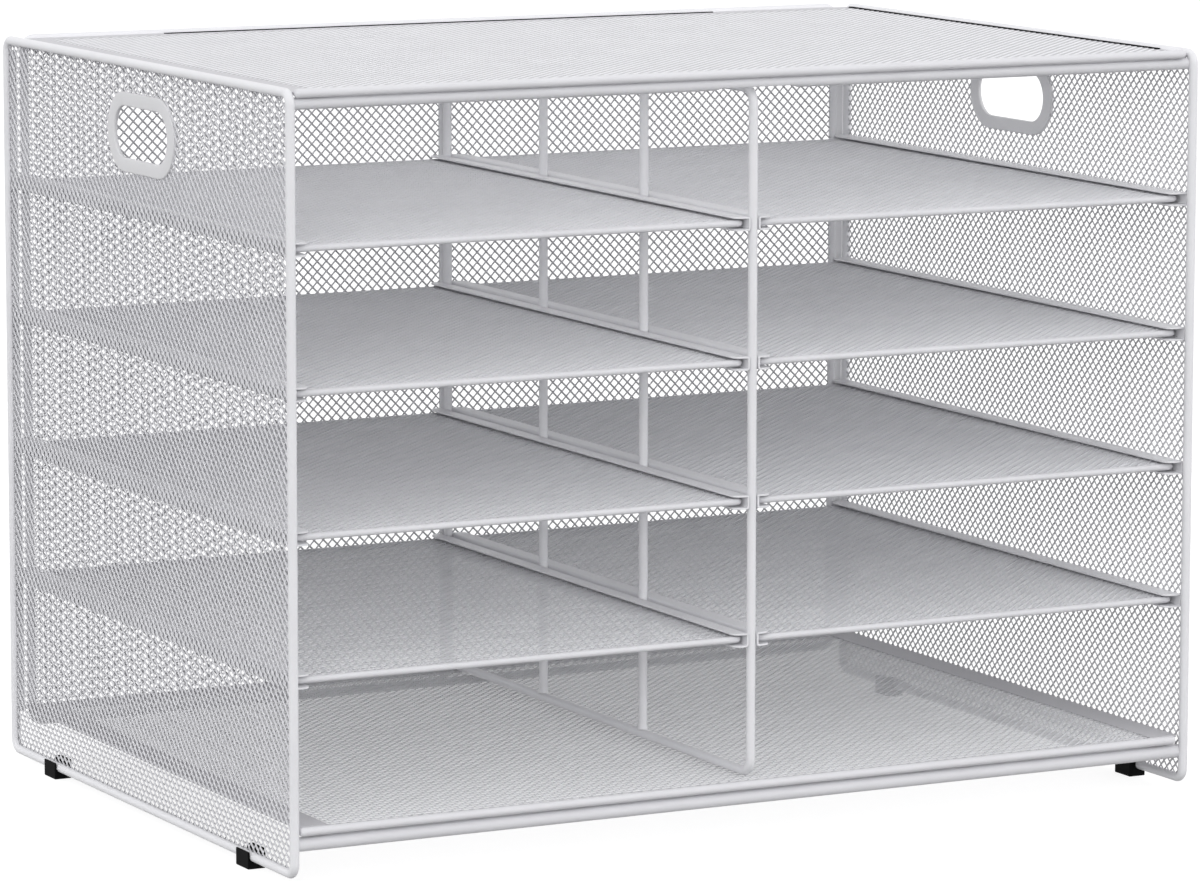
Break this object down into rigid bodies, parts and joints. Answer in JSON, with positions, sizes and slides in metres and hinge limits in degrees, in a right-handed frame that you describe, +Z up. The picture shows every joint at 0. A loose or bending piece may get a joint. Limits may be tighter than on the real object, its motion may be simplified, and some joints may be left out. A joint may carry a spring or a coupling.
{
  "type": "document organizer",
  "caption": "Wire and expanded-mesh desktop document organizer with two columns of flat sliding mesh trays, an open wire divider, side hand-holds and rubber feet.",
  "frame": {"origin": "middle of the footprint, on the floor under the feet", "axes": "+X to the right across the width, -Y out of the open front, +Z up"},
  "size_m": [0.4522, 0.3156, 0.3393],
  "materials": {
    "frame_coat": "satin pale grey-white powder coat on steel wire, strip and rails",
    "mesh_coat": "satin pale grey-white powder coat on expanded steel mesh",
    "rubber": "matt black moulded rubber"
  },
  "bodies": {
    "frame": {"left_side_wire": "frame_coat", "right_side_wire": "frame_coat", "left_side_mesh": "mesh_coat", "right_side_mesh": "mesh_coat", "left_handle_trim": "frame_coat", "right_handle_trim": "frame_coat", "top_mesh": "mesh_coat", "top_hem": "frame_coat", "top_front_roll": "frame_coat", "top_front_bar": "frame_coat", "base_mesh": "mesh_coat", "base_hem": "frame_coat", "base_front_roll": "frame_coat", "base_front_bar": "frame_coat", "back_wire": "frame_coat", "back_centre_wire": "frame_coat", "back_left_mesh": "mesh_coat", "back_right_mesh": "mesh_coat", "back_edge_left": "frame_coat", "back_edge_right": "frame_coat", "divider_loop": "frame_coat", "divider_wire_front": "frame_coat", "divider_wire_rear": "frame_coat", "rail_left_1": "frame_coat", "rail_left_2": "frame_coat", "rail_left_3": "frame_coat", "rail_left_4": "frame_coat", "rail_mid_left_1": "frame_coat", "rail_mid_left_2": "frame_coat", "rail_mid_left_3": "frame_coat", "rail_mid_left_4": "frame_coat", "rail_mid_right_1": "frame_coat", "rail_mid_right_2": "frame_coat", "rail_mid_right_3": "frame_coat", "rail_mid_right_4": "frame_coat", "rail_right_1": "frame_coat", "rail_right_2": "frame_coat", "rail_right_3": "frame_coat", "rail_right_4": "frame_coat", "foot_left_front": "rubber", "foot_left_rear": "rubber", "foot_right_front": "rubber", "foot_right_rear": "rubber"},
    "tray_left_1": {"tray_left_1_rim": "frame_coat", "tray_left_1_mesh": "mesh_coat"},
    "tray_left_2": {"tray_left_2_rim": "frame_coat", "tray_left_2_mesh": "mesh_coat"},
    "tray_left_3": {"tray_left_3_rim": "frame_coat", "tray_left_3_mesh": "mesh_coat"},
    "tray_left_4": {"tray_left_4_rim": "frame_coat", "tray_left_4_mesh": "mesh_coat"},
    "tray_right_1": {"tray_right_1_rim": "frame_coat", "tray_right_1_mesh": "mesh_coat"},
    "tray_right_2": {"tray_right_2_rim": "frame_coat", "tray_right_2_mesh": "mesh_coat"},
    "tray_right_3": {"tray_right_3_rim": "frame_coat", "tray_right_3_mesh": "mesh_coat"},
    "tray_right_4": {"tray_right_4_rim": "frame_coat", "tray_right_4_mesh": "mesh_coat"}
  },
  "joints": [
    {"name": "tray_left_1_slide", "type": "slide", "parent": "frame", "child": "tray_left_1", "axis": [0, -1, 0], "range_m": [0, 0.28]},
    {"name": "tray_left_2_slide", "type": "slide", "parent": "frame", "child": "tray_left_2", "axis": [0, -1, 0], "range_m": [0, 0.28]},
    {"name": "tray_left_3_slide", "type": "slide", "parent": "frame", "child": "tray_left_3", "axis": [0, -1, 0], "range_m": [0, 0.28]},
    {"name": "tray_left_4_slide", "type": "slide", "parent": "frame", "child": "tray_left_4", "axis": [0, -1, 0], "range_m": [0, 0.28]},
    {"name": "tray_right_1_slide", "type": "slide", "parent": "frame", "child": "tray_right_1", "axis": [0, -1, 0], "range_m": [0, 0.28]},
    {"name": "tray_right_2_slide", "type": "slide", "parent": "frame", "child": "tray_right_2", "axis": [0, -1, 0], "range_m": [0, 0.28]},
    {"name": "tray_right_3_slide", "type": "slide", "parent": "frame", "child": "tray_right_3", "axis": [0, -1, 0], "range_m": [0, 0.28]},
    {"name": "tray_right_4_slide", "type": "slide", "parent": "frame", "child": "tray_right_4", "axis": [0, -1, 0], "range_m": [0, 0.28]}
  ]
}
